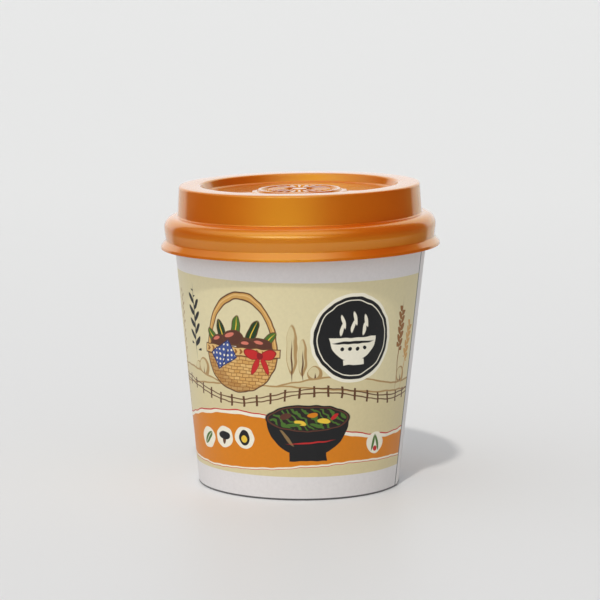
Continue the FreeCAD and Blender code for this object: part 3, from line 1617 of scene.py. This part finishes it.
    def make_body(self) -> bpy.types.Object:
        """Spins the body.

        Returns:
            The body.
        """
        bench = Bench("cup_body")
        bench.draw(self.body_outline(), 0.0)
        bench.spin_round(self.body_columns)
        bench.close_up()
        piece = bench.lift()
        coated = BareBoard("coated_board", Ink.PAPER.value, self.coated_shade)
        piece.data.materials.append(coated.make())
        smooth(piece)
        return piece

    def build(self) -> list[bpy.types.Object]:
        """Builds and dresses the cup.

        Returns:
            Its pieces.
        """
        pieces = [self.make_sleeve(), self.make_body()]
        for piece in pieces:
            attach(piece, BODY)
            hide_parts("cup")
        return pieces


# ---------------------------------------------------------------------------
# The lid
# ---------------------------------------------------------------------------


@dataclass
class Lid:
    """The formed lid: well with a rosette, flat top, collar, bead, neck, flange and lip.

    Attributes:
        lip_radius: Outside of the lip's lower edge.
        lowest: Lowest point of the lid above the table.
    """

    lip_radius: float
    lowest: float
    sheet: float = 0.45
    tilt: float = 1.35
    lip_height: float = 0.85
    lip_draft: float = 0.1
    flange_drop: float = 1.9
    flange_reach: float = 1.65
    flange_round: float = 0.4
    neck_drop: float = 4.3
    neck_round: float = 0.6
    bead_reach: float = 0.45
    bead_straight: float = 1.0
    bead_fade: float = 6.0
    bead_round: float = 3.7
    crease_round: float = 0.5
    collar_inset: float = 4.65
    collar_height: float = 10.2
    collar_draft: float = 0.6
    top_edge_round: float = 0.8
    well_margin: float = 7.3
    well_depth: float = 2.9
    well_draft: float = 1.1
    well_edge_round: float = 0.9
    well_floor_round: float = 0.9
    disc_radius: float = 16.0
    disc_height: float = 0.45
    disc_round: float = 0.2
    ribs: int = 24
    rib_inner: float = 5.2
    rib_outer: float = 10.6
    ring_inner: float = 13.0
    ring_outer: float = 13.9
    boss_radius: float = 2.4
    relief_height: float = 0.6
    relief_slope: float = 0.5
    relief_slack: float = 0.05
    columns: int = 240

    @property
    def lip_z(self) -> float:
        """Height of the lip's lower edge at the lid's axis."""
        return self.lowest + self.lip_radius * math.sin(math.radians(self.tilt))

    @property
    def disc_z(self) -> float:
        """Height of the raised disc's top, before the lid is tilted."""
        rise = self.lip_height + self.flange_drop + self.neck_drop + self.bead_round
        return self.lip_z + rise + self.collar_height - self.well_depth + self.disc_height

    def relief_corners(self) -> list[Corner]:
        """Lists the corners on the disc where the boss, the ribs and the ring start and end.

        Returns:
            The corners, from the middle outwards.
        """
        slope = self.relief_slope
        radii = [0.0, self.boss_radius, self.boss_radius + slope]
        for inner, outer in ((self.rib_inner, self.rib_outer), (self.ring_inner, self.ring_outer)):
            radii += [inner - slope, inner, outer, outer + slope]
        return [Corner(radius, self.disc_z) for radius in radii]

    def outline(self) -> list[Corner]:
        """Lists the sheet's outer face from the middle of the well down to the lip.

        Returns:
            The outline's corners.
        """
        lip = self.lip_radius - self.lip_draft
        neck = lip - self.flange_reach
        bead = neck + self.bead_reach
        collar = bead - self.collar_inset
        top = collar - self.collar_draft
        well = top - self.well_margin
        lip_top = self.lip_z + self.lip_height
        neck_z = lip_top + self.flange_drop
        bead_z = neck_z + self.neck_drop
        shoulder = bead_z + self.bead_round
        top_z = shoulder + self.collar_height
        floor_z = top_z - self.well_depth
        return [
            *self.relief_corners(),
            Corner(self.disc_radius, self.disc_z, self.disc_round, 3),
            Corner(self.disc_radius + self.disc_height, floor_z, self.disc_round, 3),
            Corner(well - self.well_draft, floor_z, self.well_floor_round, 6),
            Corner(well, top_z, self.well_edge_round, 8),
            Corner(top, top_z, self.top_edge_round, 8),
            Corner(collar, shoulder, self.crease_round, 5),
            Corner(bead, shoulder, self.bead_round, 18),
            Corner(bead, bead_z - self.bead_straight, self.bead_fade, 6),
            Corner(neck, neck_z, self.neck_round, 5),
            Corner(lip, lip_top, self.flange_round, 4),
            Corner(self.lip_radius, self.lip_z),
        ]

    def embossed(self, place: Vector) -> bool:
        """Says whether a vertex is on the boss, a rib or the ring of the rosette.

        Args:
            place: The vertex's place, in metres.

        Returns:
            Whether it is raised.
        """
        slack = self.relief_slack
        pitch = FULL_TURN / self.ribs
        radius = radius_of(place)
        if abs(place.z / MM - self.disc_z) > slack:
            return False
        on_boss = radius < self.boss_radius + slack
        on_ring = self.ring_inner - slack < radius < self.ring_outer + slack
        off_middle = abs((azimuth_of(place) + pitch / 2) % pitch - pitch / 2)
        in_ribs = self.rib_inner - slack < radius < self.rib_outer + slack
        return on_boss or on_ring or (in_ribs and off_middle < pitch / 4)

    def seat(self, piece: bpy.types.Object) -> None:
        """Tilts the lid about the middle of its lip, with the +X side up.

        Args:
            piece: The lid, active and selected.
        """
        bpy.ops.object.mode_set(mode="EDIT")
        bpy.ops.mesh.select_all(action="SELECT")
        bpy.ops.transform.rotate(
            value=math.radians(self.tilt),
            orient_axis="Y",
            orient_type="GLOBAL",
            center_override=(0, 0, self.lip_z * MM),
        )
        bpy.ops.mesh.select_all(action="DESELECT")
        bpy.ops.object.mode_set(mode="OBJECT")

    def make_shell(self) -> bpy.types.Object:
        """Spins, embosses, thickens and tilts the lid.

        Returns:
            The lid.
        """
        bench = Bench("lid_shell")
        bench.draw(self.outline(), 0.0)
        bench.spin_round(self.columns)
        bench.close_up()
        bench.select(self.embossed)
        bpy.ops.transform.translate(value=(0, 0, self.relief_height * MM))
        piece = bench.lift()
        piece.data.materials.append(PearlSheet().make())
        thicken(piece, self.sheet)
        smooth(piece)
        self.seat(piece)
        return piece

    def build(self) -> list[bpy.types.Object]:
        """Builds and dresses the lid.

        Returns:
            Its pieces.
        """
        piece = self.make_shell()
        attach(piece, BODY)
        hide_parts("lid")
        return [piece]


# ---------------------------------------------------------------------------
# The stage
# ---------------------------------------------------------------------------


@dataclass(frozen=True)
class Panel:
    """A soft bright panel round the cup, which only reflections show. All in degrees.

    Attributes:
        turn: Azimuth of its middle.
        rise: Elevation of its middle.
        half_width: Half its width.
        half_height: Half its height.
        level: How bright it is.
        fade: Shares of its half sizes at which it starts to fade and has faded.
    """

    turn: float
    rise: float
    half_width: float
    half_height: float
    level: float
    fade: tuple[float, float] = (0.6, 1.3)

    def shown(self, desk: NodeDesk, way: Socket) -> Socket:
        """Where the panel is.

        Args:
            desk: Where the nodes go.
            way: The direction that is looked in.

        Returns:
            1 in the panel, 0 outside it.
        """
        turn, rise = math.radians(self.turn), math.radians(self.rise)
        level = Vector((math.sin(turn), -math.cos(turn), 0))
        middle = level * math.cos(rise) + Vector((0, 0, math.sin(rise)))
        aside = Vector((math.cos(turn), math.sin(turn), 0))
        wide = aside / math.sin(math.radians(self.half_width))
        tall = middle.cross(aside) / math.sin(math.radians(self.half_height))
        off = desk.join(desk.dot(way, tuple(wide)), desk.dot(way, tuple(tall)))
        inside = desk.spread(desk.length(off), *self.fade, 1.0, 0.0)
        ahead = desk.math("GREATER_THAN", desk.dot(way, tuple(middle)), 0.0)
        return desk.math("MULTIPLY", inside, ahead)


@dataclass
class Stage:
    """Pale floor, sun-like key light, soft sky and the camera. Lengths are metres here.

    Attributes:
        footprint: Radius of the opening in the floor under the cup, which lights the underside.
        gradient: Where the floor's near colour ends and its far colour starts, along +Y.
        sky_lean: How the sky's light leans, as a part of its strength in each direction.
        back_gloss: Brightness that reflections find behind the cup.
        side_gloss: Brightness that they find beside it.
        front_gloss: Brightness that they find in front of it.
        front_turn: Azimuth of the front's middle.
        front_fade: Cosines at which the front starts and is full.
        wedge: Cosines at which the bright back starts and is full.
        near_floor: Distances at which the floor's own reflection starts and has faded.
        far_floor_gloss: Brightness of the far floor in reflections beside the bright back.
    """

    floor_size: float = 40.0
    floor_near: Colour = (0.738, 0.734, 0.730, 1.0)
    floor_far: Colour = (0.800, 0.800, 0.790, 1.0)
    floor_roughness: float = 0.5
    floor_specular: float = 0.2
    footprint: float = 0.031
    gradient: tuple[float, float] = (-0.25, 0.9)
    towards_sun: tuple[float, float, float] = (-0.129, -0.638, 1.0)
    sun_strength: float = 1.2
    sun_angle: float = 3.0
    sun_tone: tuple[float, float, float] = (1.03, 1.0, 0.95)
    sky: float = 0.65
    sky_tone: Colour = (0.985, 1.0, 1.025, 1.0)
    sky_lean: tuple[float, float, float] = (-0.52, -0.30, 0.0)
    backdrop: float = 0.79
    back_gloss: float = 1.05
    side_gloss: float = 0.02
    front_gloss: float = 0.06
    front_turn: float = -12.0
    front_fade: tuple[float, float] = (0.55, 0.95)
    panels: tuple[Panel, ...] = (
        Panel(-16.0, 24.0, 30.0, 9.0, 3.1),
        Panel(-14.0, 64.0, 34.0, 20.0, 1.15),
        Panel(-75.0, 38.0, 35.0, 18.0, 0.6),
    )
    wedge: tuple[float, float] = (0.65, 0.73)
    near_floor: tuple[float, float] = (0.28, 0.42)
    far_floor_gloss: float = 0.05
    camera_place: tuple[float, float, float] = (0.0, -0.9285, 0.1970)
    camera_tip: float = 81.75
    camera_roll: float = 0.32
    lens: float = 164.92
    sensor: float = 36.0
    clip: tuple[float, float] = (0.01, 200.0)

    def floor_colour(self, desk: NodeDesk, origin: Socket) -> Socket:
        """The floor's colour, dimmed in reflections where the far floor isn't behind the cup.

        Args:
            desk: Where the nodes go.
            origin: The place on the floor.

        Returns:
            The colour.
        """
        along = desk.split(origin)[1]
        seen = desk.mix(desk.spread(along, *self.gradient), self.floor_near, self.floor_far)
        away = desk.length(origin)
        far = desk.spread(away, *self.near_floor)
        aside = desk.spread(desk.math("DIVIDE", along, away), *self.wedge, 1.0, 0.0)
        mirrored = desk.add("ShaderNodeLightPath", {}).outputs["Is Glossy Ray"]
        share = desk.math("MULTIPLY", desk.math("MULTIPLY", far, aside), mirrored)
        return desk.mix(share, seen, (*[self.far_floor_gloss] * 3, 1.0))

    def make_floor(self) -> None:
        """Lays the floor, which is open under the cup and can be looked through from below."""
        bpy.ops.object.select_all(action="DESELECT")
        bpy.ops.mesh.primitive_plane_add(size=self.floor_size)
        floor = bpy.context.object
        floor.name = "floor"
        material, desk = new_material("floor")
        origin = desk.here()
        shader = desk.add(
            "ShaderNodeBsdfPrincipled",
            {
                "Base Color": self.floor_colour(desk, origin),
                "Roughness": self.floor_roughness,
                "Specular IOR Level": self.floor_specular,
            },
        )
        clear = desk.add("ShaderNodeBsdfTransparent", {})
        behind = desk.add("ShaderNodeNewGeometry", {}).outputs["Backfacing"]
        under = desk.math("LESS_THAN", desk.length(origin), self.footprint)
        inputs = {0: desk.math("MAXIMUM", behind, under), 1: shader.outputs[0], 2: clear.outputs[0]}
        mixed = desk.add("ShaderNodeMixShader", inputs)
        desk.add("ShaderNodeOutputMaterial", {"Surface": mixed.outputs[0]})
        floor.data.materials.append(material)

    def make_sun(self) -> None:
        """Hangs the key light."""
        bpy.ops.object.light_add(type="SUN")
        sun = bpy.context.object
        sun.name = "key"
        sun.data.energy = self.sun_strength
        sun.data.angle = math.radians(self.sun_angle)
        sun.data.color = self.sun_tone
        sun.visible_glossy = False
        sun.rotation_euler = Vector(self.towards_sun).to_track_quat("Z", "Y").to_euler()

    def reflected_sky(self, desk: NodeDesk, way: Socket) -> Socket:
        """How bright reflections find the sky: a bright back, a faint front and the panels.

        Args:
            desk: Where the nodes go.
            way: The direction that is looked in.

        Returns:
            The brightness.
        """
        flat = desk.vector("MULTIPLY", way, (1, 1, 0)).outputs[0]
        heading = desk.vector("NORMALIZE", flat).outputs[0]
        turn = math.radians(self.front_turn)
        forwards = desk.dot(heading, (math.sin(turn), -math.cos(turn), 0))
        backwards = desk.split(heading)[1]
        back = desk.spread(backwards, *self.wedge, self.side_gloss, self.back_gloss)
        front = desk.spread(forwards, *self.front_fade, 0.0, self.front_gloss)
        gloss = desk.math("ADD", back, front)
        for panel in self.panels:
            gloss = desk.math("MULTIPLY_ADD", panel.shown(desk, way), panel.level, gloss)
        return gloss

    def make_sky(self) -> None:
        """Makes the soft sky, the plain backdrop, and what reflections show of them."""
        world = bpy.data.worlds.new("sky")
        bpy.context.scene.world = world
        world.use_nodes = True
        desk = NodeDesk(world.node_tree)
        way = desk.add("ShaderNodeTexCoord", {}).outputs["Generated"]
        soft = desk.math("MULTIPLY_ADD", desk.dot(way, self.sky_lean), self.sky, self.sky)
        path = desk.add("ShaderNodeLightPath", {}).outputs
        lit = desk.between(path["Is Glossy Ray"], soft, self.reflected_sky(desk, way))
        strength = desk.between(path["Is Camera Ray"], lit, self.backdrop)
        tone = desk.add("ShaderNodeBackground", {"Color": self.sky_tone, "Strength": strength})
        desk.add("ShaderNodeOutputWorld", {"Surface": tone.outputs[0]})

    def make_camera(self) -> None:
        """Sets up the camera."""
        bpy.ops.object.camera_add(location=self.camera_place)
        camera = bpy.context.object
        tip = Matrix.Rotation(math.radians(self.camera_tip), 4, "X")
        roll = Matrix.Rotation(math.radians(self.camera_roll), 4, "Z")
        camera.rotation_euler = (tip @ roll).to_euler()
        camera.data.lens = self.lens
        camera.data.sensor_width = self.sensor
        camera.data.clip_start, camera.data.clip_end = self.clip
        bpy.context.scene.camera = camera

    def build(self) -> None:
        """Sets up the whole stage."""
        self.make_floor()
        self.make_sun()
        self.make_sky()
        self.make_camera()
        bpy.context.scene.view_settings.view_transform = "Standard"


def main() -> None:
    """Builds the cup, the lid and the stage, and reports each piece."""
    logging.basicConfig(level=logging.INFO, format="%(message)s")
    _, cup_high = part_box("cup")
    lid_low, lid_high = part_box("lid")
    cup = PaperCup(height=cup_high.z / MM, rim_radius=cup_high.x / MM)
    lid = Lid(lip_radius=lid_high.x / MM, lowest=lid_low.z / MM)
    for part in (cup, lid):
        for piece in part.build():
            faces = len(piece.data.polygons)
            log.info("%s: %d faces, in %s", piece.name, faces, type(part).__name__)
    Stage().build()


if __name__ == "__main__":
    main()
